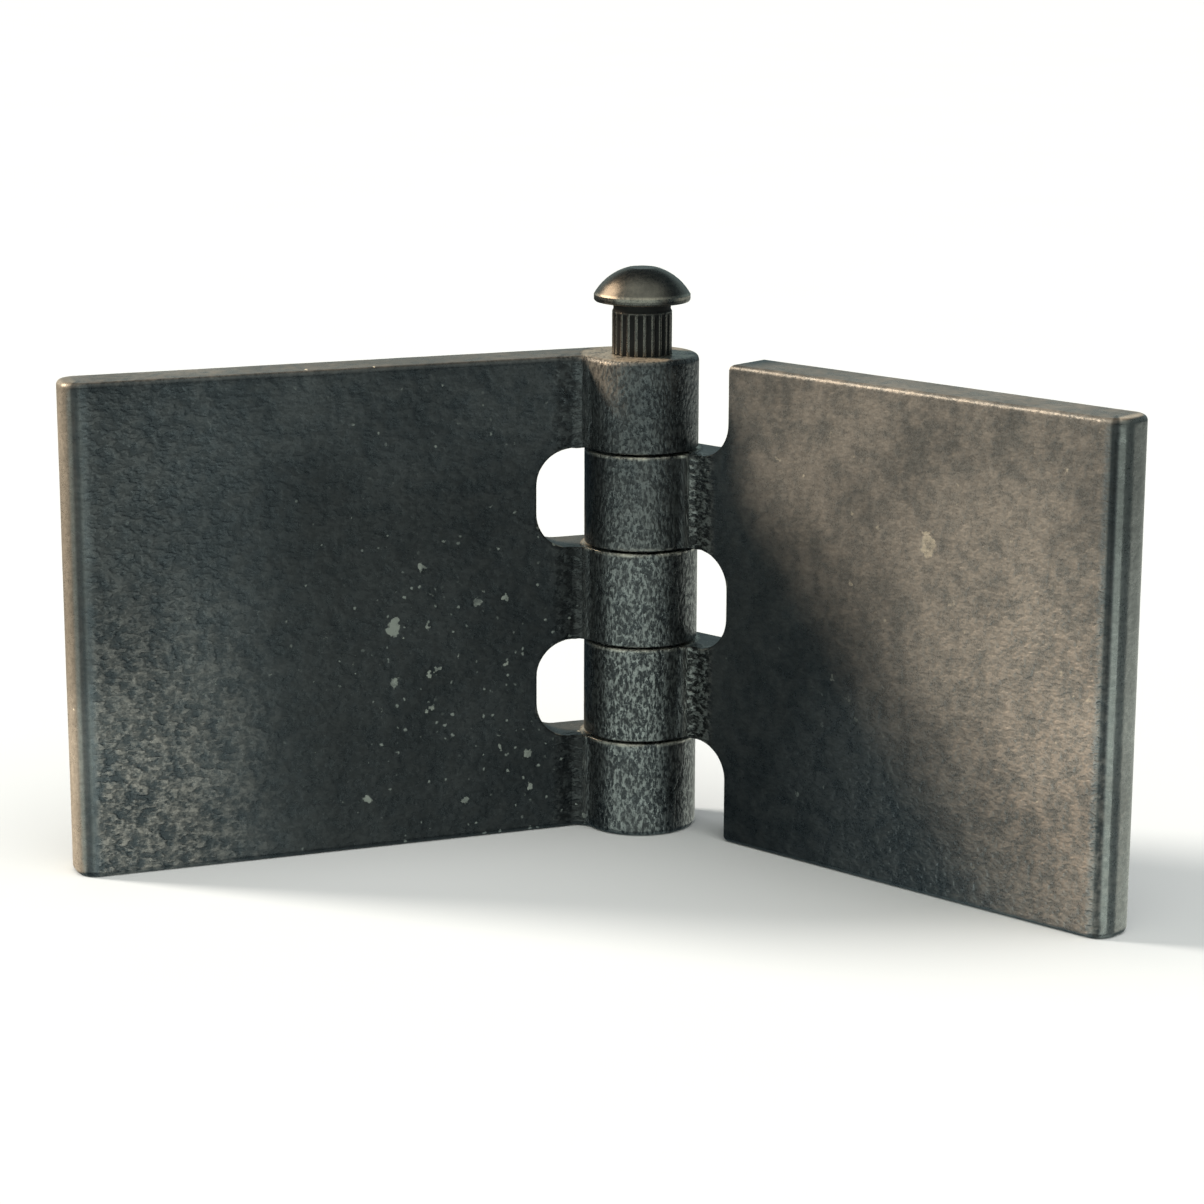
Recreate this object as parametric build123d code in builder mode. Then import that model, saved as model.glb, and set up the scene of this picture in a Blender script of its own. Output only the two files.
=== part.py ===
from build123d import *
import os
from math import cos, pi, radians, sin

# Car door hinge: two steel leaves whose knuckles interleave on a domed, serrated pin.
# Millimetres. +Z runs up the pin. The origin is on the pin's axis, level with the bottom of the
# leaves. The pillar leaf lies along -X, and its mounting face looks towards +Y.

# Driving dimensions of the barrel and the leaves
open_angle = 116.7          # between the front faces of the two leaves, as the hinge stands
knuckle_count = 5           # the lowest, middle and highest ones belong to the pillar leaf
knuckle_height = 13.55      # from one seam of the barrel to the next
top_knuckle_height = 13.05  # from the highest seam to the top face
knuckle_gap = 0.25          # axial running gap at each seam
barrel_radius = 7.94        # 5/8 in barrel
leaf_thickness = 7.5
pillar_leaf_length = 80.4   # pin axis to free end
door_leaf_length = 78.6     # pin axis to free end
notch_reach = 15.2          # pin axis to the straight wall of a notch
notch_corner_radius = 5.0   # round corners of a notch, seen square on to the leaf
blend_radius = 2.2          # hollow between a leaf's front face and its knuckles
end_round = 3.0             # upright edges of a leaf's free end
rim_round = 0.8             # edges of the top and bottom faces
notch_edge_round = 0.3      # edges of the notches and of the knuckles' ends

# Driving dimensions of the pin
pin_radius = 3.97           # 5/16 in pin
pin_clearance = 0.04        # radial running clearance in the bore
pin_length = 67.25          # under the head, so it would end flush if it were driven home
pin_lift = 7.25             # from the top of the barrel to the underside of the head
pin_tip_chamfer = 0.8
head_radius = 6.66
head_height = 4.62
head_flat_radius = 1.9      # small flat on top of the dome
dome_radius = 7.6
rim_height = 0.95           # upright rim below the dome
head_under_round = 0.36     # from the rim to the underside
head_nose_round = 0.3       # from the dome to the rim
neck_height = 1.05          # plain neck between the head and the serrated band
serration_count = 22
serration_crest_radius = 4.14
serration_root_radius = 3.76
serration_land = 0.3        # width left on each crest
serration_bevel = 0.3       # height of the bevel from the neck out to the crests
serration_fade = 1.1        # height over which the grooves run out at the top

# Sizes that follow from them
barrel_height = (knuckle_count - 1) * knuckle_height + top_knuckle_height
bore_radius = pin_radius + pin_clearance
head_level = barrel_height + pin_lift
serration_top = head_level - neck_height

# Each leaf points away from the pin along its own direction, and the two front faces look at
# each other across the opening.
up = Vector(0, 0, 1)
door_turn = radians(180 - open_angle)
pillar_direction = Vector(-1, 0, 0)
door_direction = Vector(cos(door_turn), -sin(door_turn), 0)

# A leaf's plan has its +X away from the pin and its +Y out of the front face. The door leaf is
# the other hand of the pillar leaf, so its plan is drawn on the top face and looks down.
pillar_plan = Plane(origin=(0, 0, 0), x_dir=pillar_direction, z_dir=up)
door_plan = Plane(origin=(0, 0, barrel_height), x_dir=door_direction, z_dir=-up)

# A leaf's side view has its +X away from the pin and its +Y up.
pillar_side = Plane(origin=(0, 0, 0), x_dir=pillar_direction, z_dir=pillar_direction.cross(up))
door_side = Plane(origin=(0, 0, 0), x_dir=door_direction, z_dir=door_direction.cross(up))


def leaf_plan(plan, length):
    """Outline a leaf from above: a plate flush with the back of the barrel, blended in front."""
    with BuildSketch(plan) as outline:
        Circle(barrel_radius)
        with Locations((0, -barrel_radius)):
            Rectangle(length, leaf_thickness, align=(Align.MIN, Align.MIN))
        front_level = leaf_thickness - barrel_radius
        inner_corner = outline.vertices().sort_by_distance((barrel_radius, front_level))[0]
        fillet(inner_corner, blend_radius)
        fillet(outline.vertices().group_by(Axis.X)[-1], end_round)
    return outline.sketch


def notch_view(side, places):
    """Outline from the side the notches that make room for the other leaf's knuckles."""
    with BuildSketch(side) as outline:
        for place in places:
            low = place * knuckle_height - knuckle_gap / 2
            high = (place + 1) * knuckle_height + knuckle_gap / 2
            if place == 0:
                low -= notch_corner_radius
            if place == knuckle_count - 1:
                high += notch_corner_radius
            with Locations((notch_reach, low)):
                Rectangle(notch_reach + 2 * barrel_radius, high - low, align=(Align.MAX, Align.MIN))
        wall_ends = outline.vertices().group_by(Axis.X)[-1]
        fillet(wall_ends.filter_by_position(Axis.Y, 0, barrel_height), notch_corner_radius)
    return outline.sketch


def leaf_rims(leaf):
    """Pick the edges of a leaf's top and bottom faces."""
    faces = leaf.faces().sort_by(Axis.Z)
    return faces[0].edges() + faces[-1].edges()


def notch_rims(leaf, side):
    """Pick the edges round the notches and the knuckles' ends, clear of the rounded rims."""
    between = leaf.edges().filter_by_position(Axis.Z, 2 * rim_round, barrel_height - 2 * rim_round)
    across = between.filter_by(Axis((0, 0, 0), side.z_dir))
    upright = between.filter_by(Axis.Z)
    away = Axis((0, 0, 0), side.x_dir)
    walls = upright.filter_by_position(away, notch_reach - rim_round, notch_reach + rim_round)
    return between - across - upright + walls


# Pillar leaf: three knuckles, with two closed notches for the door leaf's knuckles
with BuildPart() as pillar_leaf:
    extrude(leaf_plan(pillar_plan, pillar_leaf_length), amount=barrel_height)
    notches = notch_view(pillar_side, range(1, knuckle_count, 2))
    extrude(notches, amount=2 * barrel_radius, both=True, mode=Mode.SUBTRACT)
    fillet(leaf_rims(pillar_leaf), rim_round)
    fillet(notch_rims(pillar_leaf, pillar_side), notch_edge_round)
    with Locations((0, 0, barrel_height)):
        Hole(bore_radius, depth=barrel_height)
pillar_leaf.part.label = "pillar_leaf"

# Door leaf: two knuckles, with a closed notch between them and an open step above and below
with BuildPart() as door_leaf:
    extrude(leaf_plan(door_plan, door_leaf_length), amount=barrel_height)
    notches = notch_view(door_side, range(0, knuckle_count, 2))
    extrude(notches, amount=2 * barrel_radius, both=True, mode=Mode.SUBTRACT)
    fillet(leaf_rims(door_leaf), rim_round)
    fillet(notch_rims(door_leaf, door_side), notch_edge_round)
    with Locations((0, 0, barrel_height)):
        Hole(bore_radius, depth=barrel_height)
door_leaf.part.label = "door_leaf"

# Hinge pin: it drops in until the serrations meet the rim of the top bore, where they hold it
with BuildPart() as hinge_pin:
    tip_level = head_level - pin_length
    crest_level = serration_top - serration_bevel
    fade_level = crest_level - serration_fade
    with BuildSketch(Plane.XZ) as half_section:
        with BuildLine():
            shank = Polyline(
                (0, tip_level),
                (pin_radius - pin_tip_chamfer, tip_level),
                (pin_radius, tip_level + pin_tip_chamfer),
                (pin_radius, barrel_height),
                (serration_root_radius, barrel_height),
                (serration_root_radius, fade_level),
                (serration_crest_radius, crest_level),
                (pin_radius, serration_top),
                (pin_radius, head_level),
                (head_radius, head_level),
                (head_radius, head_level + rim_height),
            )
            dome = RadiusArc(shank @ 1, (head_flat_radius, head_level + head_height), -dome_radius)
            Polyline(dome @ 1, (0, head_level + head_height), (0, tip_level))
        make_face()
        rim = half_section.vertices().group_by(Axis.X)[-1].sort_by(Axis.Y)
        fillet(rim[-1], head_nose_round)
        under_corner = half_section.vertices().sort_by_distance((head_radius, head_level))[0]
        fillet(under_corner, min(head_under_round, 0.8 * rim_height))
    revolve(axis=Axis.Z)

    groove_depth = serration_crest_radius - serration_root_radius
    groove_width = 2 * pi * serration_crest_radius / serration_count - serration_land
    with BuildSketch(Plane.XY.offset(barrel_height)) as serrated_section:
        Circle(serration_crest_radius)
        with PolarLocations(serration_root_radius, serration_count):
            groove = [(0, 0), (2 * groove_depth, -groove_width), (2 * groove_depth, groove_width)]
            Polygon(*groove, align=None, mode=Mode.SUBTRACT)
    extrude(amount=crest_level - barrel_height)
hinge_pin.part.label = "hinge_pin"

os.makedirs("parts", exist_ok=True)
for piece in (pillar_leaf, door_leaf, hinge_pin):
    export_step(piece.part, f"parts/{piece.part.label}.step")
    print(piece.part.label, round(piece.part.volume), "cubic mm, valid:", piece.part.is_valid)
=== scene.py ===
import math
from types import SimpleNamespace

import bmesh
import bpy
from mathutils import Matrix, Vector, noise


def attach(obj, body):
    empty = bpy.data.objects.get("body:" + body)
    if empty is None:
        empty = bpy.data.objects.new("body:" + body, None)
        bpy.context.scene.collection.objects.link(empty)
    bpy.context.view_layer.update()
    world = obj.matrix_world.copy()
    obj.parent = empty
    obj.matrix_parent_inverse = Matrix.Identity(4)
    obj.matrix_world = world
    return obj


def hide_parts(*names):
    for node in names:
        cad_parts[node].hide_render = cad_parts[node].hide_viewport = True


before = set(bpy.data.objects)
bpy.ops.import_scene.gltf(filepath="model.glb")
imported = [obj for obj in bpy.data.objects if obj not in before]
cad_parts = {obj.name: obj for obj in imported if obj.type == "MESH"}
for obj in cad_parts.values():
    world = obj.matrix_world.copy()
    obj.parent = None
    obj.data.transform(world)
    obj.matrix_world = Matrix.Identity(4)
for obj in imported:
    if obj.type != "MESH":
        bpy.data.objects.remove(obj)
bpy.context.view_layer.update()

# Car door hinge: dense copies of the CAD pieces, finished as dark steel with a coat of oil.
# Sizes and places are in millimetres, and MM turns them into metres.
MM = 0.001

# Each leaf has a direction along it, from the pin to its free end, and one out of its front face.
# The angle between the two front faces repeats part.py.
OPEN_ANGLE = math.radians(116.7)
UP = Vector((0, 0, 1))
PILLAR_ALONG = Vector((-1, 0, 0))
PILLAR_FRONT = Vector((0, -1, 0))
DOOR_ALONG = Vector((-math.cos(OPEN_ANGLE), -math.sin(OPEN_ANGLE), 0))
DOOR_FRONT = Vector((-math.sin(OPEN_ANGLE), math.cos(OPEN_ANGLE), 0))


def reach(node, direction):
    """How far a CAD node reaches from the origin along a direction."""
    return round(max(v.co.dot(direction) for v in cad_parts[node].data.vertices) / MM, 2)


# Sizes read from the frame
BARREL_TOP = reach("pillar_leaf", UP)
BARREL_RADIUS = reach("pillar_leaf", -PILLAR_FRONT)
HEAD_TOP = reach("hinge_pin", UP)

# Sizes that repeat part.py
KNUCKLE_HEIGHT = 13.55
LEAF_THICKNESS = 7.5
END_ROUND = 3.0
BLEND_RADIUS = 2.2
SERRATION_CREST_RADIUS = 4.14
HEAD_RADIUS = 6.66
HEAD_HEIGHT = 4.62
HEAD_RIM_HEIGHT = 0.95
HEAD_FLAT_RADIUS = 1.9
DOME_RADIUS = 7.6

# Levels that follow from them: a leaf's two faces, out of its front from the pin's axis, and the head
FRONT_LEVEL = LEAF_THICKNESS - BARREL_RADIUS
BACK_LEVEL = -BARREL_RADIUS
HEAD_LEVEL = HEAD_TOP - HEAD_HEIGHT
HEAD_RIM_TOP = HEAD_LEVEL + HEAD_RIM_HEIGHT

# The shallow groove up the rounded front edge of each free end, in degrees round that edge from the
# leaf's front face
GROOVE_TURN = 40.0
GROOVE_HALF_TURN = 18.0

# What differs from leaf to leaf: groove_depth is the groove's depth, groove_shade how much painted
# shade darkens it, paint how strong the pale chips and specks are, and the seeds shift the noises
PILLAR = SimpleNamespace(
    node="pillar_leaf", body="pillar_side", along=PILLAR_ALONG, front=PILLAR_FRONT,
    length=reach("pillar_leaf", PILLAR_ALONG), groove_depth=0.07, groove_shade=0.35, paint=1.0,
    shape_seed=3.0, steel_seed=1.0)
DOOR = SimpleNamespace(
    node="door_leaf", body="door_side", along=DOOR_ALONG, front=DOOR_FRONT,
    length=reach("door_leaf", DOOR_ALONG), groove_depth=0.24, groove_shade=0.68, paint=0.0,
    shape_seed=8.0, steel_seed=11.0)

# Chips that stand out in the photograph: along the leaf, up the leaf, radius
PILLAR_MARKS = [
    (36.1, 30.9, 0.95), (35.8, 32.0, 0.60), (34.6, 29.7, 0.30), (36.0, 23.4, 0.65), (31.1, 24.2, 0.45),
    (29.8, 24.7, 0.45), (31.6, 19.0, 0.30), (30.7, 19.3, 0.36), (24.0, 33.8, 0.50), (19.8, 34.1, 0.50),
    (31.9, 39.3, 0.42), (31.4, 30.8, 0.40), (19.8, 24.7, 0.36), (16.8, 11.3, 0.62), (20.7, 12.7, 0.36),
    (16.4, 6.6, 0.50), (40.0, 7.1, 0.60), (26.0, 5.5, 0.48)]
DOOR_MARKS = [
    (49.4, 47.1, 1.25), (49.4, 47.7, 1.05), (49.1, 49.0, 0.40), (34.1, 26.8, 0.30), (38.3, 21.8, 0.36),
    (28.3, 9.6, 0.32)]

# Colours, as linear red, green and blue
OIL_DARK = (0.114, 0.132, 0.145)
OIL_PALE = (0.178, 0.190, 0.196)
CUT_STEEL = (0.285, 0.295, 0.285)
BARE_WARM = (0.84, 0.74, 0.66)
BARE_COLD = (0.69, 0.72, 0.69)
SPECK_AND_GLINT_COLOUR = (0.62, 0.66, 0.61)
CHIP_COLOUR = (0.66, 0.69, 0.62)
RUBBED_AND_HIGHLIGHT_COLOUR = (0.70, 0.68, 0.62)
SEAM_HIGHLIGHT_COLOUR = (0.85, 0.83, 0.74)
PIN_DARK = (0.150, 0.146, 0.134)
PIN_PALE = (0.220, 0.210, 0.190)
PIN_RUBBED = (0.56, 0.53, 0.46)
PIN_GROOVE_SHADE = (0.012, 0.013, 0.014)
PIN_NECK_SHADE = (0.035, 0.034, 0.032)
FLOOR_LOW = (0.74, 0.75, 0.75)
FLOOR_HIGH = (0.76, 0.77, 0.77)
KEY_COLOUR = (1.0, 0.745, 0.52)
FLOOR_KEY_COLOUR = (1.0, 0.95, 0.88)
WHITE = (1.0, 1.0, 1.0)
ROOM_AMBIENT = (0.024, 0.040, 0.050)
ROOM_LEFT = (1.00, 1.12, 1.03)
ROOM_RIGHT = (0.75, 0.78, 0.70)
ROOM_BACK = (0.24, 0.31, 0.31)
ROOM_HIGH = (0.60, 0.62, 0.55)
ROOM_FLOOR = (0.16, 0.20, 0.20)

# The key light's direction, in degrees, and how wide its disc is
KEY_AZIMUTH = 143
KEY_ELEVATION = 30.3
KEY_WIDTH = 14

# The camera fitted to the photograph: angles in degrees, place in metres
PICTURE_PIXELS = 1204
FOCAL_PIXELS = 3267.22
CAMERA_AZIMUTH = -20.883
CAMERA_PITCH = 13.191
CAMERA_ROLL = 0.178
CAMERA_PLACE = Vector((-0.164226, -0.415323, 0.136607))


# Dense meshes


def cut_by_lattice(bm, faces, direction, step, low, high):
    """Split faces by the planes that stand every step along direction, from low to high."""
    if high - low <= 1 or not faces:
        return
    middle = (low + high) // 2
    level = middle * step
    edges = {e for f in faces for e in f.edges}
    verts = {v for f in faces for v in f.verts}
    cut = bmesh.ops.bisect_plane(
        bm, geom=list(verts) + list(edges) + list(faces), dist=1e-3,
        plane_co=direction * middle * step, plane_no=direction)
    pieces = [g for g in cut["geom"] if isinstance(g, bmesh.types.BMFace)]
    below = [f for f in pieces if f.calc_center_median().dot(direction) < level]
    above = [f for f in pieces if f.calc_center_median().dot(direction) >= level]
    cut_by_lattice(bm, below, direction, step, low, middle)
    cut_by_lattice(bm, above, direction, step, middle, high)


def dense_copy(node, lattices, weld=0.0):
    """Copy a CAD node's mesh in millimetres, with the faces that each lattice wants cut small.
    Vertices within the weld distance of each other become one, which takes out slivers."""
    same_place, flat_angle, sliver = 1e-4, math.radians(0.2), 0.02
    bm = bmesh.new()
    bm.from_mesh(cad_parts[node].data)
    bm.transform(Matrix.Scale(1 / MM, 4))
    bmesh.ops.remove_doubles(bm, verts=bm.verts, dist=same_place)
    bmesh.ops.dissolve_limit(bm, angle_limit=flat_angle, verts=bm.verts, edges=bm.edges)
    for direction, step, wanted in lattices:
        faces = [f for f in bm.faces if any(wanted(v.co) for v in f.verts)]
        places = [v.co.dot(direction) for f in faces for v in f.verts]
        first, last = math.floor(min(places) / step), math.ceil(max(places) / step)
        cut_by_lattice(bm, faces, direction, step, first, last)
    bmesh.ops.triangulate(bm, faces=bm.faces)
    if weld:
        bmesh.ops.remove_doubles(bm, verts=bm.verts, dist=weld)
        bmesh.ops.dissolve_degenerate(bm, dist=sliver, edges=bm.edges)
        bmesh.ops.triangulate(bm, faces=bm.faces)
    bm.verts.index_update()
    return bm


def spread_out(bm, values):
    """Give each vertex half its own value and half the mean of its neighbours'."""
    spread = {}
    for v in bm.verts:
        near = sum(values[e.other_vert(v).index] for e in v.link_edges)
        spread[v.index] = 0.5 * values[v.index] + 0.5 * near / len(v.link_edges)
    return spread


def edge_wear(bm, passes):
    """How much each vertex stands on a rounded or sharp outer edge, from 0 to 1."""
    start, full = math.radians(8), math.radians(18)
    worn = {}
    for edge in bm.edges:
        turn = edge.calc_face_angle_signed(0.0)
        share = min(max((turn - start) / (full - start), 0.0), 1.0)
        for v in edge.verts:
            worn[v.index] = max(worn.get(v.index, 0.0), share)
    for _ in range(passes):
        worn = spread_out(bm, worn)
    return worn


def finish_piece(bm, name, body, node, material, wear):
    """Turn a mesh in millimetres into a piece that rides on a body and replaces a CAD node."""
    crease_angle = math.radians(42)
    mesh = bpy.data.meshes.new(name)
    bm.transform(Matrix.Scale(MM, 4))
    bm.to_mesh(mesh)
    bm.free()
    attribute = mesh.attributes.new("wear", "FLOAT", "POINT")
    attribute.data.foreach_set("value", [wear[i] for i in range(len(mesh.vertices))])
    mesh.shade_smooth()
    mesh.set_sharp_from_angle(angle=crease_angle)
    mesh.materials.append(material)
    obj = bpy.data.objects.new(name, mesh)
    bpy.context.scene.collection.objects.link(obj)
    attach(obj, body)
    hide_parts(node)
    return obj


def smooth_step(value, low, high):
    t = min(max((value - low) / (high - low), 0.0), 1.0)
    return t * t * (3 - 2 * t)


def onto_arc(x, y, centre_x, centre_y, radius, slack=0.03):
    """Bring a point near an arc onto it, since a CAD mesh has only the arc's chords."""
    away_x, away_y = x - centre_x, y - centre_y
    distance = math.hypot(away_x, away_y)
    if abs(distance - radius) > slack:
        return x, y
    return centre_x + away_x * radius / distance, centre_y + away_y * radius / distance


# Shape of the leaves


def true_plan(u, w, length):
    """Bring a point of a leaf's plan, u along the leaf and w out of its front, onto the plan's arcs."""
    near = 0.01
    end_u = length - END_ROUND
    front_w, back_w = FRONT_LEVEL - END_ROUND, BACK_LEVEL + END_ROUND
    if u > end_u and w > front_w:
        return onto_arc(u, w, end_u, front_w, END_ROUND)
    if u > end_u and w < back_w:
        return onto_arc(u, w, end_u, back_w, END_ROUND)
    blend_w = FRONT_LEVEL + BLEND_RADIUS
    blend_u = math.sqrt((BARREL_RADIUS + BLEND_RADIUS) ** 2 - blend_w ** 2)
    touch_u = blend_u * BARREL_RADIUS / (BARREL_RADIUS + BLEND_RADIUS)
    if touch_u < u < blend_u and w > FRONT_LEVEL - near:
        return onto_arc(u, w, blend_u, blend_w, BLEND_RADIUS)
    if w > BACK_LEVEL + near:
        return onto_arc(u, w, 0, 0, BARREL_RADIUS)
    return u, w


def snap_to_plan(bm, leaf):
    """Bring the upright faces onto the plan's arcs, clear of the rounded rims above and below."""
    rim = 0.75
    for v in bm.verts:
        if not rim < v.co.z < BARREL_TOP - rim:
            continue
        u, w = v.co.dot(leaf.along), v.co.dot(leaf.front)
        true_u, true_w = true_plan(u, w, leaf.length)
        v.co += leaf.along * (true_u - u) + leaf.front * (true_w - w)
    bm.normal_update()


def skin_depth(p, offset):
    """How deep the forging skin lies: small bumps on a surface that waves a little."""
    bumps = noise.noise(p / 1.5 + offset) * 0.5 + noise.noise(p / 3.4 - offset) * 0.8
    waves = noise.noise(p / 14 + offset)
    return 0.012 * (0.9 + bumps) + 0.02 * (1 + waves)


def worn_depth(p, offset, wear):
    """How deep an edge is worn and nicked. The barrel's edges along its seams are worn less."""
    nick = smooth_step(noise.noise(p / 2.2 + offset * 2), 0.0, 0.45)
    on_plate = math.hypot(p.x, p.y) > BARREL_RADIUS + 1.06
    near_rim = p.z > BARREL_TOP - 1.25 or p.z < 1.5
    return wear * (1.0 if on_plate or near_rim else 0.15) * (0.015 + 0.004 * nick)


def scraped_depth(p, offset, u, w):
    """How deep the blend between a leaf's front face and its knuckles is scraped."""
    if w <= FRONT_LEVEL - 1.06:
        return 0.0
    hollow = smooth_step(u, 6.0, 8.0) * (1 - smooth_step(u, 10.2, 12.2))
    streak = noise.noise(Vector((p.x / 0.7, p.y / 0.7, p.z / 2.0)) + offset)
    return hollow * 0.09 * (0.5 + streak)


def grooved_depth(z, u, w, leaf):
    """How deep the groove up the free end's rounded front edge is. It runs out before the rims."""
    past_u, past_w = u - (leaf.length - END_ROUND), w - (FRONT_LEVEL - END_ROUND)
    if past_u <= 0 or past_w <= 0:
        return 0.0
    turn = math.degrees(math.atan2(past_u, past_w))
    across = smooth_step(1 - abs(turn - GROOVE_TURN) / GROOVE_HALF_TURN, 0.0, 1.0)
    low_end = smooth_step(z, 0.6, 2.6)
    high_end = smooth_step(z, BARREL_TOP - 3.0, BARREL_TOP - 1.0)
    return leaf.groove_depth * across * low_end * (1 - high_end)


def shape_leaf(bm, leaf, wear):
    """Push the surface in by hundredths of a millimetre, and up to leaf.groove_depth in the groove.
    The bore stays as it is."""
    near_bore = 4.6
    seed = leaf.shape_seed
    offset = Vector((seed, seed * 1.7, -seed * 0.6))
    snap_to_plan(bm, leaf)
    moves = []
    for v in bm.verts:
        p = v.co
        if math.hypot(p.x, p.y) < near_bore:
            continue
        u, w = p.dot(leaf.along), p.dot(leaf.front)
        depth = skin_depth(p, offset) + worn_depth(p, offset, wear[v.index])
        depth += scraped_depth(p, offset, u, w) + grooved_depth(p.z, u, w, leaf)
        moves.append((v, v.normal * -max(depth, 0.0)))
    for v, move in moves:
        v.co += move


# Node trees


class Nodes:
    """A node tree, with short calls for the nodes used here."""

    def __init__(self, tree):
        self.tree = tree

    def put(self, socket, value):
        if isinstance(value, bpy.types.NodeSocket):
            self.tree.links.new(value, socket)
        else:
            socket.default_value = value

    def vector(self, operation, a, b=None, scale=None):
        node = self.tree.nodes.new("ShaderNodeVectorMath")
        node.operation = operation
        self.put(node.inputs[0], a)
        if b is not None:
            self.put(node.inputs[1], b)
        if scale is not None:
            self.put(node.inputs["Scale"], scale)
        gives_number = operation in ("DOT_PRODUCT", "LENGTH", "DISTANCE")
        return node.outputs["Value" if gives_number else "Vector"]

    def math(self, operation, a, b=0.0, clamp=False):
        node = self.tree.nodes.new("ShaderNodeMath")
        node.operation = operation
        node.use_clamp = clamp
        for socket, value in zip(node.inputs, (a, b)):
            self.put(socket, value)
        return node.outputs[0]

    def times(self, *values):
        result = values[0]
        for value in values[1:]:
            result = self.math("MULTIPLY", result, value)
        return result

    def plus(self, *values):
        result = values[0]
        for value in values[1:]:
            result = self.math("ADD", result, value)
        return result

    def less(self, a, b, clamp=False):
        return self.math("SUBTRACT", a, b, clamp=clamp)

    def inverse(self, mask):
        return self.less(1.0, mask)

    def separate(self, vector):
        node = self.tree.nodes.new("ShaderNodeSeparateXYZ")
        self.put(node.inputs[0], vector)
        return node.outputs

    def combine(self, x, y, z):
        node = self.tree.nodes.new("ShaderNodeCombineXYZ")
        for socket, value in zip(node.inputs, (x, y, z)):
            self.put(socket, value)
        return node.outputs[0]

    def span(self, value, low, high, out_low=0.0, out_high=1.0):
        """Smooth step of value from low to high, onto out_low to out_high."""
        node = self.tree.nodes.new("ShaderNodeMapRange")
        node.interpolation_type = "SMOOTHSTEP"
        for name, number in zip(
                ("Value", "From Min", "From Max", "To Min", "To Max"),
                (value, low, high, out_low, out_high)):
            self.put(node.inputs[name], number)
        return node.outputs[0]

    def mix(self, factor, a, b):
        """Colour between a and b."""
        node = self.tree.nodes.new("ShaderNodeMix")
        node.data_type = "RGBA"
        self.put(node.inputs[0], factor)
        colours = [socket for socket in node.inputs if socket.type == "RGBA"]
        for socket, value in zip(colours, (a, b)):
            self.put(socket, value if isinstance(value, bpy.types.NodeSocket) else (*value, 1.0))
        return [socket for socket in node.outputs if socket.type == "RGBA"][0]

    def blend(self, factor, a, b):
        """Number between a and b."""
        node = self.tree.nodes.new("ShaderNodeMix")
        self.put(node.inputs[0], factor)
        self.put(node.inputs[2], a)
        self.put(node.inputs[3], b)
        return node.outputs[0]


class Shader(Nodes):
    """One material's node tree, where mm is the place on the piece in millimetres."""

    def __init__(self, name):
        self.material = bpy.data.materials.new(name)
        self.material.use_nodes = True
        super().__init__(self.material.node_tree)
        self.surface = self.tree.nodes["Principled BSDF"]
        place = self.tree.nodes.new("ShaderNodeTexCoord").outputs["Object"]
        self.mm = self.vector("SCALE", place, scale=1 / MM)

    def finish(self, **values):
        """Put values on the surface's sockets, whose names have spaces for underscores."""
        for name, value in values.items():
            self.put(self.surface.inputs[name.replace("_", " ")], value)
        return self.material

    def from_axis(self):
        """Distance from the pin's axis."""
        return self.vector("LENGTH", self.vector("MULTIPLY", self.mm, (1, 1, 0)))

    def noise(self, size, detail, roughness=0.5, vector=None, shift=0.0):
        """Noise whose blotches are about size millimetres across."""
        node = self.tree.nodes.new("ShaderNodeTexNoise")
        moved = self.vector("ADD", vector or self.mm, (7.3 * shift, -4.1 * shift, 5.9 * shift))
        self.put(node.inputs["Vector"], moved)
        self.put(node.inputs["Scale"], 1.0 / size)
        self.put(node.inputs["Detail"], detail)
        self.put(node.inputs["Roughness"], roughness)
        return node.outputs[0]

    def wobble(self):
        """A random shift of up to a millimetre or so, which makes rims ragged."""
        node = self.tree.nodes.new("ShaderNodeTexNoise")
        self.put(node.inputs["Vector"], self.mm)
        self.put(node.inputs["Scale"], 1.5)
        self.put(node.inputs["Detail"], 4.0)
        swing = self.vector("SUBTRACT", node.outputs["Color"], (0.5, 0.5, 0.5))
        return self.vector("SCALE", swing, scale=1.9)

    def cells(self, size, vector):
        """Distance to the nearest of scattered points, and two random numbers of its own for each."""
        node = self.tree.nodes.new("ShaderNodeTexVoronoi")
        self.put(node.inputs["Vector"], vector)
        self.put(node.inputs["Scale"], 1.0 / size)
        split = self.tree.nodes.new("ShaderNodeSeparateColor")
        self.put(split.inputs[0], node.outputs["Color"])
        return self.times(node.outputs["Distance"], size), split.outputs[0], split.outputs[1]

    def attribute(self, name):
        node = self.tree.nodes.new("ShaderNodeAttribute")
        node.attribute_name = name
        return node.outputs["Fac"]

    def bump(self, height, distance, strength=1.0):
        """Normal for a surface of the given height, where a height of 1 is the distance."""
        node = self.tree.nodes.new("ShaderNodeBump")
        self.put(node.inputs["Strength"], strength)
        self.put(node.inputs["Distance"], distance * MM)
        self.put(node.inputs["Height"], height)
        return node.outputs[0]


# Steel of the leaves


def leaf_places(s, leaf):
    """Where a point of a leaf is: distances in millimetres, and masks from 0 to 1."""
    x, _, z = s.separate(s.mm)
    u = s.vector("DOT_PRODUCT", s.mm, tuple(leaf.along))
    w = s.vector("DOT_PRODUCT", s.mm, tuple(leaf.front))
    radial = s.from_axis()
    barrel = s.span(radial, BARREL_RADIUS + 0.86, BARREL_RADIUS + 0.06)
    return SimpleNamespace(
        u=u, w=w, z=z, radial=radial, barrel=barrel, plate=s.inverse(barrel),
        front_face=s.span(w, FRONT_LEVEL - 2.8, FRONT_LEVEL - 1.4),
        cut_end=s.span(u, leaf.length - 2.4, leaf.length - 1.4),
        groove=end_groove(s, leaf, u, w),
        painted_dark_bands=painted_reflection_bands(s, x, z, barrel))


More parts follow.
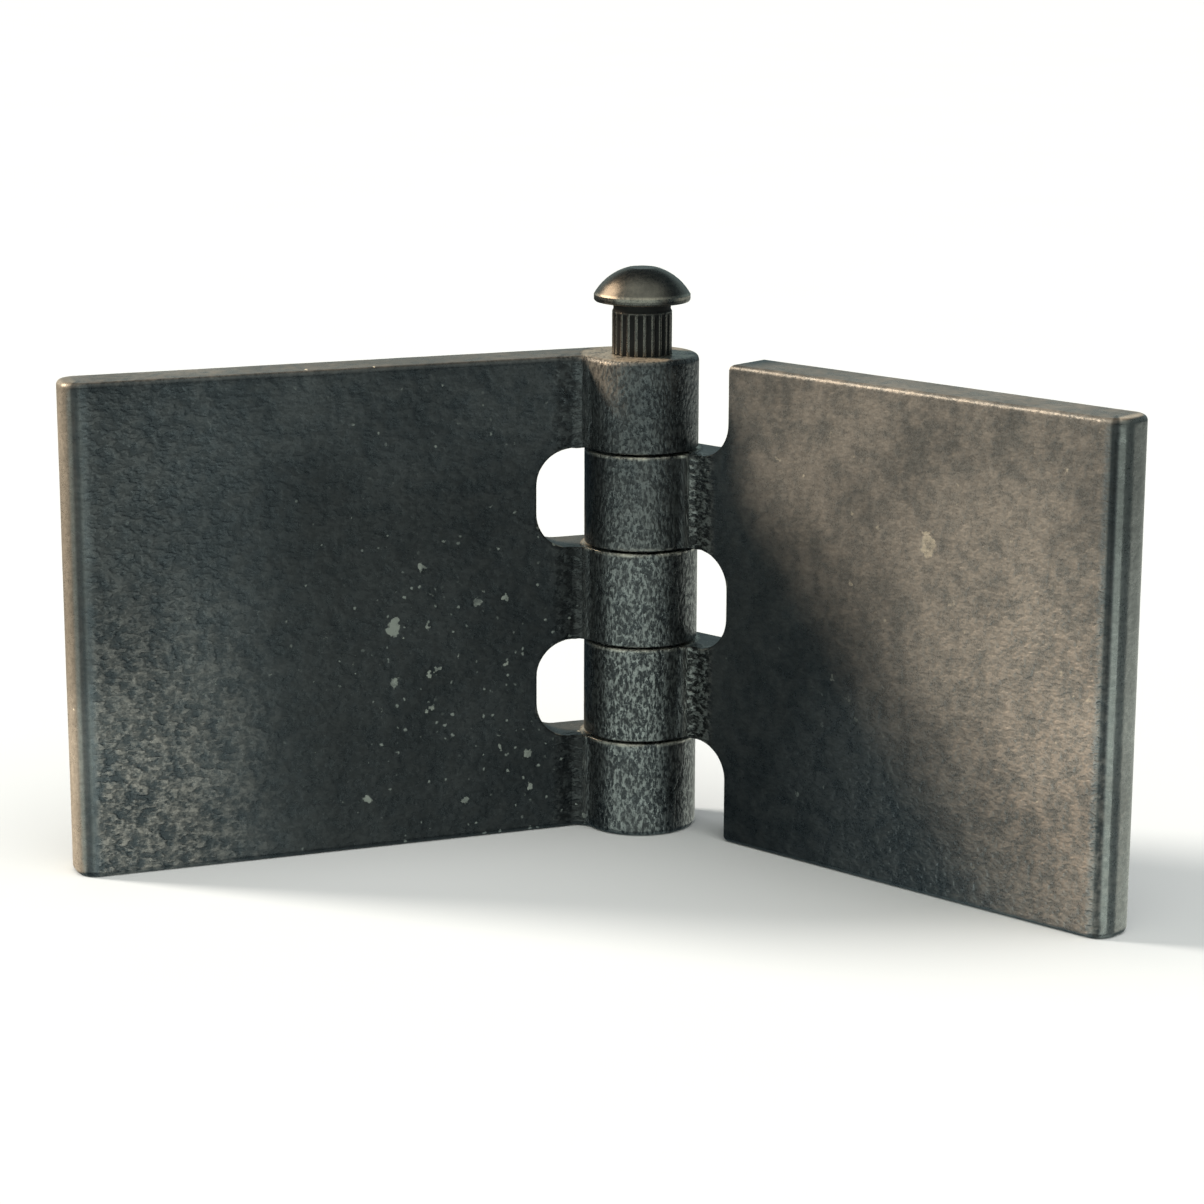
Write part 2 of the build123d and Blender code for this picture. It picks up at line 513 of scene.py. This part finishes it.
def end_groove(s, leaf, u, w):
    """The groove up the rounded front edge of the free end, which is darkened as painted shade."""
    past_u, past_w = s.plus(u, END_ROUND - leaf.length), s.plus(w, END_ROUND - FRONT_LEVEL)
    turn = s.times(s.math("ARCTAN2", past_u, past_w), 180 / math.pi)
    front_side = s.span(turn, GROOVE_TURN - 25, GROOVE_TURN - 13)
    end_side = s.span(turn, GROOVE_TURN + 6, GROOVE_TURN - 4)
    return s.times(front_side, end_side, s.span(u, leaf.length - 3.2, leaf.length - 2.8))


def painted_reflection_bands(s, x, z, barrel):
    """Two upright bands of the barrel painted dark, as painted reflections of dark surroundings, fainter
    on the top knuckle.
    """
    middle = s.times(s.span(x, 0.2, 1.6), s.span(x, 4.6, 3.4))
    left = s.span(x, -6.4, -7.2)
    return s.times(s.plus(middle, left), barrel, s.span(z, 60.0, 52.0, 0.4, 1.0))


def pillar_zones(s, at):
    """Pillar leaf: rubbed and pale low down towards its free end, dark and specked in its middle, with
    the pale and the dark partly painted light and shade. bare is how far the skin's tops are rubbed
    bare, relief how rough it is, specks how many pale specks it has, tone how light it is
    painted for light and shade, and crisp how sharply it is rubbed."""
    left = s.times(s.span(at.u, 50.0, 73.0), s.span(at.u, 78.2, 77.0), s.blend(at.front_face, 0.40, 1.0))
    low, high = s.span(at.z, 46.0, 8.0), s.span(at.z, 44.0, 62.0)
    hollow = s.times(s.span(at.u, 13.5, 11.0), at.plate, at.front_face)
    end_strip = s.times(s.span(at.u, 76.6, 77.6), s.span(at.u, 79.2, 78.2))
    # Many bare tops low down towards the free end and on the lower knuckles, partly as painted
    # reflection.
    bare = s.plus(
        0.01,
        s.times(left, s.blend(low, 0.05, 0.95)),
        s.times(at.barrel, s.span(at.z, 62.0, 35.0, 0.10, 0.40)),
        s.times(hollow, 0.04))
    relief = s.plus(
        0.08,
        s.times(left, s.blend(low, 0.10, 0.14)),
        s.times(at.barrel, 0.20),
        s.times(hollow, 0.25))
    specks = s.plus(s.times(s.span(at.u, 54.0, 38.0), s.span(at.z, 54.0, 34.0, 0.08, 0.26)), -0.03)
    # Painted light and shade: lighter at the top, towards the free end, on the end strip, low down at the
    # free end and on the lower knuckles; darker at the very end, high up at the free end, on the top
    # knuckle and in the hollow by the barrel.
    tone = s.plus(
        0.44,
        s.times(high, 0.32),
        s.times(s.span(at.u, 44.0, 64.0), s.blend(high, 0.60, 0.40)),
        s.times(end_strip, 0.24),
        s.times(s.span(at.u, 77.8, 79.2), -0.14),
        s.times(s.span(at.u, 62.0, 78.0), s.blend(low, -0.30, 0.26)),
        s.times(at.barrel, s.span(at.z, 58.0, 45.0, -0.10, 0.24)),
        s.times(hollow, -0.20))
    crisp = s.math("MAXIMUM", at.barrel, hollow)
    return SimpleNamespace(bare=bare, relief=relief, specks=specks, tone=tone, crisp=crisp)


def door_zones(s, at):
    """Door leaf: pale towards its free end, darker and smoother near the barrel, with the meanings
    of pillar_zones. The pale and the dark are partly painted light and shade."""
    right = s.span(s.less(at.u, s.times(at.z, 0.3)), 12.0, 62.0)
    hollow = s.times(s.span(at.u, 13.5, 11.5), at.plate, at.front_face)
    # More bare tops low down towards the free end and on the lower knuckles, partly as painted
    # reflection.
    bare = s.plus(
        0.01,
        s.times(at.barrel, s.span(at.z, 58.0, 20.0, 0.13, 0.50)),
        s.times(hollow, 0.42),
        s.times(s.span(at.u, 45.0, 76.0), s.span(at.z, 54.0, 10.0, 0.0, 0.28)))
    relief = s.plus(
        0.10,
        s.times(hollow, 0.40),
        s.times(at.barrel, 0.16),
        s.times(right, s.span(at.z, 60.0, 34.0, 0.05, 0.19)))
    specks = s.plus(s.times(right, 0.20), s.span(at.z, 50.0, 20.0, -0.06, 0.02))
    # Painted light and shade: near the barrel darker low down, where the pillar leaf's shadow falls, and
    # towards the free end lighter low down; upper knuckles darker, lower ones lighter, and the hollow by
    # the barrel darker.
    near_painted_shading, far_painted_shading = s.span(at.z, 62.0, 36.0, 0.92, 0.46), s.span(at.z, 64.0, 20.0, 1.14, 1.62)
    tone = s.plus(
        s.blend(s.span(at.u, 14.0, 74.0), near_painted_shading, far_painted_shading),
        s.times(at.barrel, s.span(at.z, 54.0, 36.0, -0.18, 0.10)),
        s.times(hollow, -0.34))
    crisp = s.math("MAXIMUM", at.barrel, hollow)
    return SimpleNamespace(bare=bare, relief=relief, specks=specks, tone=tone, crisp=crisp)


def forged_skin(s, at, seed):
    """The skin's noises. Its bumps lie along the leaf, and stand upright on the barrel."""
    place = s.combine(
        s.times(at.u, s.blend(at.barrel, 0.75, 1.75)),
        s.times(at.w, s.blend(at.barrel, 0.9, 1.75)),
        s.times(at.z, s.blend(at.barrel, 1.25, 0.92)))
    return SimpleNamespace(
        fine=s.noise(0.80, 4, 0.72, vector=place, shift=seed),
        dimples=s.noise(0.80, 1, vector=place, shift=seed),
        wide=s.noise(15.0, 2, 0.55, shift=seed + 1),
        blotch=s.noise(2.3, 3, 0.60, shift=seed + 2),
        grain=s.noise(0.24, 1, shift=seed + 3))


def marks_mask(s, at, marks, wobble):
    """The listed chips, with ragged rims."""
    place = s.vector("ADD", s.combine(at.u, at.z, 0.0), wobble)
    nearest = None
    for along, up, radius in marks:
        distance = s.math("DIVIDE", s.vector("DISTANCE", place, (along, up, 0)), radius)
        nearest = distance if nearest is None else s.math("MINIMUM", nearest, distance)
    return s.span(nearest, 1.12, 0.84)


def pale_chips(s, at, skin, marks, wobble):
    """Chips of a pale coat: the ones that stand out, listed one by one, and the small ones at random."""
    distance, pick, girth = s.cells(1.9, s.vector("ADD", s.mm, wobble))
    outside = s.less(distance, s.plus(s.times(girth, 0.26), 0.06))
    chosen = s.span(s.plus(pick, s.times(s.span(skin.wide, 0.42, 0.62), 0.14)), 0.965, 0.98)
    at_random = s.times(s.span(outside, 0.07, -0.07), chosen, 0.8)
    chips = s.math("MAXIMUM", at_random, marks_mask(s, at, marks, wobble))
    faded = s.span(skin.blotch, 0.30, 0.55, 0.35, 1.0)
    return s.times(chips, s.blend(at.front_face, 0.12, 1.0), at.plate, faded)


def pale_specks_and_glints(s, at, zone, paint, wobble):
    """Specks at random on the plate's front, below its rounded rim: partly pale flecks, partly painted
    glints of small bumps catching the light.
    """
    distance, pick, girth = s.cells(1.15, s.vector("ADD", s.mm, s.vector("SCALE", wobble, scale=0.4)))
    outside = s.less(distance, s.times(girth, 0.20 + 0.24 * paint))
    chosen = s.times(s.span(s.plus(pick, zone.specks), 0.92, 1.05), s.span(pick, 0.0, 1.0, 0.4, 1.0))
    below_rim = s.span(at.z, BARREL_TOP - 0.95, BARREL_TOP - 1.65)
    front = s.times(s.blend(at.front_face, 0.08, 1.0), below_rim, at.plate)
    return s.times(s.span(outside, 0.08, -0.08), chosen, front)


def rubbed_and_highlit_edges(s, skin, wear):
    """Bare steel on worn edges, with ragged limits; its pale colour is partly a painted highlight along
    the rounded rims.
    """
    by_blotch, by_skin = s.times(s.less(skin.blotch, 0.5), 0.9), s.times(s.less(skin.fine, 0.5), 0.3)
    return s.span(s.plus(wear, by_blotch, by_skin), 0.30, 0.95)


def painted_seam_highlights(s, at, skin):
    """Painted highlight on the rims of the knuckles just below each seam, standing for light that their
    rounded rims catch.
    """
    up_knuckle = s.math("FRACT", s.math("DIVIDE", at.z, KNUCKLE_HEIGHT))
    ragged = s.span(s.plus(s.times(skin.blotch, 0.7), s.times(skin.fine, 0.3)), 0.36, 0.60)
    on_barrel = s.span(at.radial, BARREL_RADIUS + 0.66, BARREL_RADIUS + 0.16)
    return s.times(s.span(up_knuckle, 0.945, 0.972), on_barrel, ragged)


def rubbed_and_glinting_tops(s, at, zone, skin):
    """Tops of the skin's bumps that are rubbed bare, in soft islands on the plate. Where the zones make
    them many, low down towards the free ends and on the lower knuckles, they also stand in as painted
    reflection.
    """
    islands = s.plus(s.times(skin.fine, 0.60), s.times(skin.blotch, 0.40))
    tops = s.blend(zone.crisp, s.span(islands, 0.41, 0.68), s.span(skin.fine, 0.44, 0.60))
    front = s.span(at.w, -6.0, -3.0, 0.40, 1.0)
    # Fewer bare tops in the painted dark bands, which are painted reflections on the barrel.
    return s.times(tops, zone.bare, s.blend(at.painted_dark_bands, 1.0, 0.35), front)


def ground_with_painted_shading(s, at, zone, skin, groove_shade):
    """The dark ground colour, with its pits, and paler on the cut end, made lighter and darker by the
    zones' painted light and shade, the painted dark bands and the painted shade in the groove.
    """
    level = s.span(s.plus(s.times(skin.wide, 0.35), s.times(skin.blotch, 0.65)), 0.36, 0.64)
    colour = s.mix(level, OIL_DARK, OIL_PALE)
    colour = s.mix(s.times(at.cut_end, s.inverse(at.groove)), colour, CUT_STEEL)
    pits = s.times(s.span(skin.fine, 0.47, 0.40), zone.crisp, 0.36)
    shade = s.times(
        zone.tone,
        # Darker in the painted dark bands, which are painted reflections on the barrel.
        s.blend(at.painted_dark_bands, 1.0, 0.72),
        # The groove darker by painted shade.
        s.blend(at.groove, 1.0, 1.0 - groove_shade),
        s.span(skin.wide, 0.3, 0.7, 0.88, 1.12),
        s.span(skin.fine, 0.25, 0.75, 0.78, 1.22),
        s.span(skin.grain, 0.3, 0.7, 0.92, 1.08),
        s.inverse(pits))
    return s.vector("SCALE", colour, scale=shade)


def skin_bump(s, at, zone, skin, wear):
    """Normal of the skin, smooth on worn edges and nearly so on the cut end."""
    dimples = s.times(s.span(skin.dimples, 0.36, 0.64), zone.relief, s.blend(at.cut_end, 0.50, 0.06))
    height = s.plus(s.times(skin.blotch, 0.22), dimples, s.times(skin.grain, 0.02))
    return s.bump(height, 0.30, s.span(wear, 0.1, 0.5, 1.0, 0.15))


def forged_steel(name, leaf, zones, marks):
    """Dark steel with a coat of oil and a pitted skin, whose look changes by place as zones says, with
    painted light and shade among it.
    """
    s = Shader(name)
    at = leaf_places(s, leaf)
    zone = zones(s, at)
    skin = forged_skin(s, at, leaf.steel_seed)
    wear = s.attribute("wear")
    wobble = s.wobble()
    chips = pale_chips(s, at, skin, marks, wobble)
    specks = pale_specks_and_glints(s, at, zone, leaf.paint, wobble)
    rubbed = rubbed_and_highlit_edges(s, skin, wear)
    rims = painted_seam_highlights(s, at, skin)
    tops = rubbed_and_glinting_tops(s, at, zone, skin)

    colour = ground_with_painted_shading(s, at, zone, skin, leaf.groove_shade)
    # Bare tops, partly painted reflection.
    colour = s.mix(tops, colour, s.mix(zone.crisp, BARE_WARM, BARE_COLD))
    # Specks, partly painted glints of small bumps.
    colour = s.mix(s.times(specks, 0.45 + 0.35 * leaf.paint), colour, SPECK_AND_GLINT_COLOUR)
    colour = s.mix(s.times(chips, 0.40 + 0.50 * leaf.paint), colour, CHIP_COLOUR)
    # Worn edges, pale enough to be partly a painted highlight.
    colour = s.mix(s.times(rubbed, 0.70), colour, RUBBED_AND_HIGHLIGHT_COLOUR)
    # Painted highlight under each seam.
    colour = s.mix(s.times(rims, 0.9), colour, SEAM_HIGHLIGHT_COLOUR)

    bare = s.math("MAXIMUM", s.times(tops, 0.9), rims)
    paint_share = 0.60 * leaf.paint
    dull = s.plus(s.times(rubbed, 0.12), s.times(chips, paint_share), s.times(specks, paint_share))
    metal = s.less(s.blend(bare, s.blend(at.cut_end, 0.68, 0.60), 0.95), dull, clamp=True)
    uneven = s.plus(s.times(skin.blotch, 0.5), s.times(skin.grain, 0.5))
    rough = s.plus(s.span(uneven, 0.35, 0.65, 0.26, 0.38), s.times(rubbed, 0.15))
    return s.finish(
        Base_Color=colour, Metallic=metal, Roughness=rough, Specular_IOR_Level=0.8,
        Normal=skin_bump(s, at, zone, skin, wear))


# Steel of the pin


def pin_steel():
    """Smooth dark steel with a coat of oil and a rubbed rim, with the grooves between the serrations made
    black and the neck under the head made dark, both as painted shade.
    """
    s = Shader("pin_steel")
    _, _, z = s.separate(s.mm)
    radial = s.from_axis()
    under_head = s.span(z, HEAD_LEVEL, HEAD_LEVEL - 0.6)
    below_crest = s.span(radial, SERRATION_CREST_RADIUS - 0.015, SERRATION_CREST_RADIUS - 0.11)
    groove = s.times(below_crest, under_head)
    neck = s.times(
        s.span(z, HEAD_LEVEL + 0.1, HEAD_LEVEL - 0.3),
        s.span(z, HEAD_LEVEL - 1.5, HEAD_LEVEL - 1.2))
    rim = s.times(
        s.span(radial, HEAD_RADIUS - 0.41, HEAD_RADIUS - 0.16),
        s.span(z, HEAD_LEVEL + 0.45, HEAD_LEVEL + 0.70),
        s.span(z, HEAD_RIM_TOP + 0.45, HEAD_RIM_TOP + 0.15))
    blotch = s.noise(2.2, 3, 0.55, shift=31.0)
    fine = s.noise(0.45, 3, 0.6, shift=32.0)
    worn = s.span(s.plus(s.attribute("wear"), s.times(s.less(fine, 0.5), 0.9)), 0.35, 0.95)
    rubbed = s.math("MAXIMUM", worn, s.times(rim, s.span(fine, 0.30, 0.60, 0.5, 1.0)))
    level = s.span(s.plus(s.times(blotch, 0.6), s.times(fine, 0.4)), 0.35, 0.65)
    colour = s.mix(level, PIN_DARK, PIN_PALE)
    colour = s.mix(s.times(rubbed, s.blend(under_head, 0.80, 0.55)), colour, PIN_RUBBED)
    # Painted shade: the grooves between the serrations black, the neck under the head dark.
    colour = s.mix(groove, colour, PIN_GROOVE_SHADE)
    colour = s.mix(s.times(neck, 0.75), colour, PIN_NECK_SHADE)
    height = s.plus(s.times(blotch, 0.5), s.times(fine, 0.18))
    return s.finish(
        Base_Color=colour, Metallic=s.blend(groove, 0.92, 0.2), Specular_IOR_Level=0.6,
        Roughness=s.blend(groove, s.span(fine, 0.35, 0.65, 0.24, 0.32), 0.7),
        Normal=s.bump(height, 0.06))


# Pieces


def make_leaf(leaf, name, material):
    """Replace a leaf by a dense copy, cut finest round the edge that carries the groove."""
    coarse, across, fine, rim = 0.56, 0.62, 0.17, 1.6

    def everywhere(co):
        return True

    def groove_edge(co):
        past_end = co.dot(leaf.along) > leaf.length - END_ROUND - 0.3
        near_front = co.dot(leaf.front) > FRONT_LEVEL - END_ROUND - 0.3
        return past_end and near_front and rim < co.z < BARREL_TOP - rim

    lattices = [
        (UP, coarse, everywhere), (leaf.along, coarse, everywhere), (leaf.front, across, everywhere),
        (leaf.along, fine, groove_edge), (leaf.front, fine, groove_edge)]
    bm = dense_copy(leaf.node, lattices, weld=0.03)
    wear = edge_wear(bm, 2)
    shape_leaf(bm, leaf, wear)
    return finish_piece(bm, name, leaf.body, leaf.node, material, wear)


def round_head(bm):
    """Bring the head's rim and dome onto their true circle and arc."""
    # The dome's centre lies on the normal through the middle of its chord
    rim, top = Vector((HEAD_RADIUS, HEAD_RIM_TOP)), Vector((HEAD_FLAT_RADIUS, HEAD_TOP))
    chord = top - rim
    inward = Vector((-chord.y, chord.x)).normalized()
    centre = (rim + top) / 2 + inward * math.sqrt(DOME_RADIUS ** 2 - chord.length_squared / 4)
    for v in bm.verts:
        radial = math.hypot(v.co.x, v.co.y)
        if radial < 0.1 or v.co.z < HEAD_LEVEL - 0.1:
            continue
        true_radial, z = radial, v.co.z
        if abs(radial - HEAD_RADIUS) < 0.03:
            true_radial = HEAD_RADIUS
        elif HEAD_RIM_TOP + 0.2 < v.co.z < HEAD_TOP - 0.005:
            true_radial, z = onto_arc(radial, v.co.z, centre.x, centre.y, DOME_RADIUS, slack=0.08)
        v.co = Vector((v.co.x * true_radial / radial, v.co.y * true_radial / radial, z))
    bm.normal_update()


def make_pin():
    """Replace the pin by a copy that is dense above the barrel, with a slightly uneven skin there."""
    step = 0.35

    def above_barrel(co):
        return co.z > BARREL_TOP - 1

    def head(co):
        return co.z > HEAD_LEVEL - 1.5

    bm = dense_copy("hinge_pin", [
        (UP, step, above_barrel), (Vector((1, 0, 0)), step, head), (Vector((0, 1, 0)), step, head)])
    wear = edge_wear(bm, 1)
    round_head(bm)
    moves = []
    for v in bm.verts:
        if v.co.z < BARREL_TOP + 0.05:
            continue
        skin = noise.noise(v.co / 1.1) * 0.3 + noise.noise(v.co / 2.6)
        moves.append((v, v.normal * -(0.008 * (1 + skin) + 0.02 * wear[v.index])))
    for v, move in moves:
        v.co += move
    return finish_piece(bm, "serrated_pin", "pillar_side", "hinge_pin", pin_steel(), wear)


# Stage


def make_floor():
    """A plain pale floor, which doesn't tint the hinge."""
    half = 6000 * MM
    corners = [(-half, -half, 0), (half, -half, 0), (half, half, 0), (-half, half, 0)]
    mesh = bpy.data.meshes.new("floor")
    mesh.from_pydata(corners, [], [(0, 1, 2, 3)])
    s = Shader("floor_paint")
    mesh.materials.append(s.finish(
        Base_Color=s.mix(s.noise(60.0, 3), FLOOR_LOW, FLOOR_HIGH), Roughness=0.9, Specular_IOR_Level=0.1))
    obj = bpy.data.objects.new("floor", mesh)
    bpy.context.scene.collection.objects.link(obj)
    obj.visible_diffuse = False
    obj.visible_glossy = False
    return obj


def make_camera():
    """The camera from which the photograph was taken."""
    azimuth, pitch, roll = (math.radians(x) for x in (CAMERA_AZIMUTH, CAMERA_PITCH, CAMERA_ROLL))
    level = Vector((math.cos(azimuth), math.sin(azimuth), 0))
    ahead = Vector((
        -math.sin(azimuth) * math.cos(pitch), math.cos(azimuth) * math.cos(pitch), -math.sin(pitch)))
    upward = level.cross(ahead)
    right = math.cos(roll) * level + math.sin(roll) * upward
    top = math.cos(roll) * upward - math.sin(roll) * level
    lens = bpy.data.cameras.new("camera")
    lens.sensor_width = 36.0
    lens.lens = FOCAL_PIXELS / PICTURE_PIXELS * lens.sensor_width
    lens.clip_start = 10 * MM
    obj = bpy.data.objects.new("camera", lens)
    bpy.context.scene.collection.objects.link(obj)
    turn = Matrix((right, top, -ahead)).transposed().to_4x4()
    turn.translation = CAMERA_PLACE
    obj.matrix_world = turn
    bpy.context.scene.camera = obj


def make_room():
    """A dim teal room for reflections: a softly lit ground to the left and right, a dark side where
    the shadows fall, a paler wall behind and a soft light high in front."""
    world = bpy.data.worlds.new("studio")
    world.use_nodes = True
    s = Nodes(world.node_tree)
    place = s.tree.nodes.new("ShaderNodeTexCoord").outputs["Generated"]
    _, _, z = s.separate(place)

    def heading(azimuth):
        """How far a direction points along an azimuth, and how far to its left."""
        a = math.radians(azimuth)
        ahead = s.vector("DOT_PRODUCT", place, (math.cos(a), math.sin(a), 0))
        return ahead, s.vector("DOT_PRODUCT", place, (-math.sin(a), math.cos(a), 0))

    def turn_from(azimuth):
        """Degrees from an azimuth round to a direction."""
        ahead, aside = heading(azimuth)
        return s.times(s.math("ARCTAN2", aside, ahead), 180 / math.pi)

    def sector(azimuth, half_width, soft):
        return s.span(s.math("ABSOLUTE", turn_from(azimuth)), half_width + soft, half_width - soft)

    low = s.times(s.span(z, -0.07, -0.24), s.span(z, -0.52, -0.32))
    from_left = turn_from(225)
    left = s.times(s.span(from_left, -46, -38), s.span(from_left, 74, 46))
    wall = s.times(sector(75, 70, 25), s.span(z, -0.05, 0.15), s.span(z, 0.62, 0.36))
    ahead, aside = heading(236)
    high = s.times(
        s.span(ahead, -0.42, 0.20), s.span(z, 0.10, 0.32), s.span(s.math("ABSOLUTE", aside), 0.98, 0.30))
    colour = s.mix(s.times(left, low), ROOM_AMBIENT, ROOM_LEFT)
    colour = s.mix(s.times(sector(20, 40, 8), low), colour, ROOM_RIGHT)
    colour = s.mix(wall, colour, ROOM_BACK)
    colour = s.mix(high, colour, ROOM_HIGH)
    colour = s.mix(s.span(z, -0.62, -0.85), colour, ROOM_FLOOR)
    s.put(s.tree.nodes["Background"].inputs["Color"], colour)
    bpy.context.scene.world = world


def sun(name, colour, strength, lit, azimuth=KEY_AZIMUTH, elevation=KEY_ELEVATION, width=KEY_WIDTH):
    """A distant lamp that lights the objects in lit and nothing else."""
    a, e = math.radians(azimuth), math.radians(elevation)
    towards = Vector((math.cos(e) * math.cos(a), math.cos(e) * math.sin(a), math.sin(e)))
    lamp = bpy.data.lights.new(name, "SUN")
    lamp.angle = math.radians(width)
    lamp.energy = strength
    lamp.color = colour
    obj = bpy.data.objects.new(name, lamp)
    bpy.context.scene.collection.objects.link(obj)
    obj.rotation_euler = towards.to_track_quat("Z", "Y").to_euler()
    group = bpy.data.collections.new(name + "_lights")
    for piece in lit:
        group.objects.link(piece)
    obj.light_linking.receiver_collection = group
    return obj


pillar = make_leaf(
    PILLAR, "pillar_leaf_forged", forged_steel("pillar_steel", PILLAR, pillar_zones, PILLAR_MARKS))
door = make_leaf(DOOR, "door_leaf_forged", forged_steel("door_steel", DOOR, door_zones, DOOR_MARKS))
pin = make_pin()

bpy.context.scene.view_settings.view_transform = "Standard"
floor = make_floor()
make_camera()
make_room()

# The key's diffuse light is narrow and strong, and its shine wide and weak, as from a soft box
key = sun("key", KEY_COLOUR, 24.0, [pillar, door])
key.visible_glossy = False
key_shine = sun("key_shine", KEY_COLOUR, 2.4, [pillar, door], width=36)
key_shine.visible_diffuse = False
sun("key_on_pin", KEY_COLOUR, 2.0, [pin], width=44)
sun("key_on_floor", FLOOR_KEY_COLOUR, 3.7, [floor])
sun("fill_on_floor", WHITE, 1.8, [floor], azimuth=-60, elevation=70, width=60)
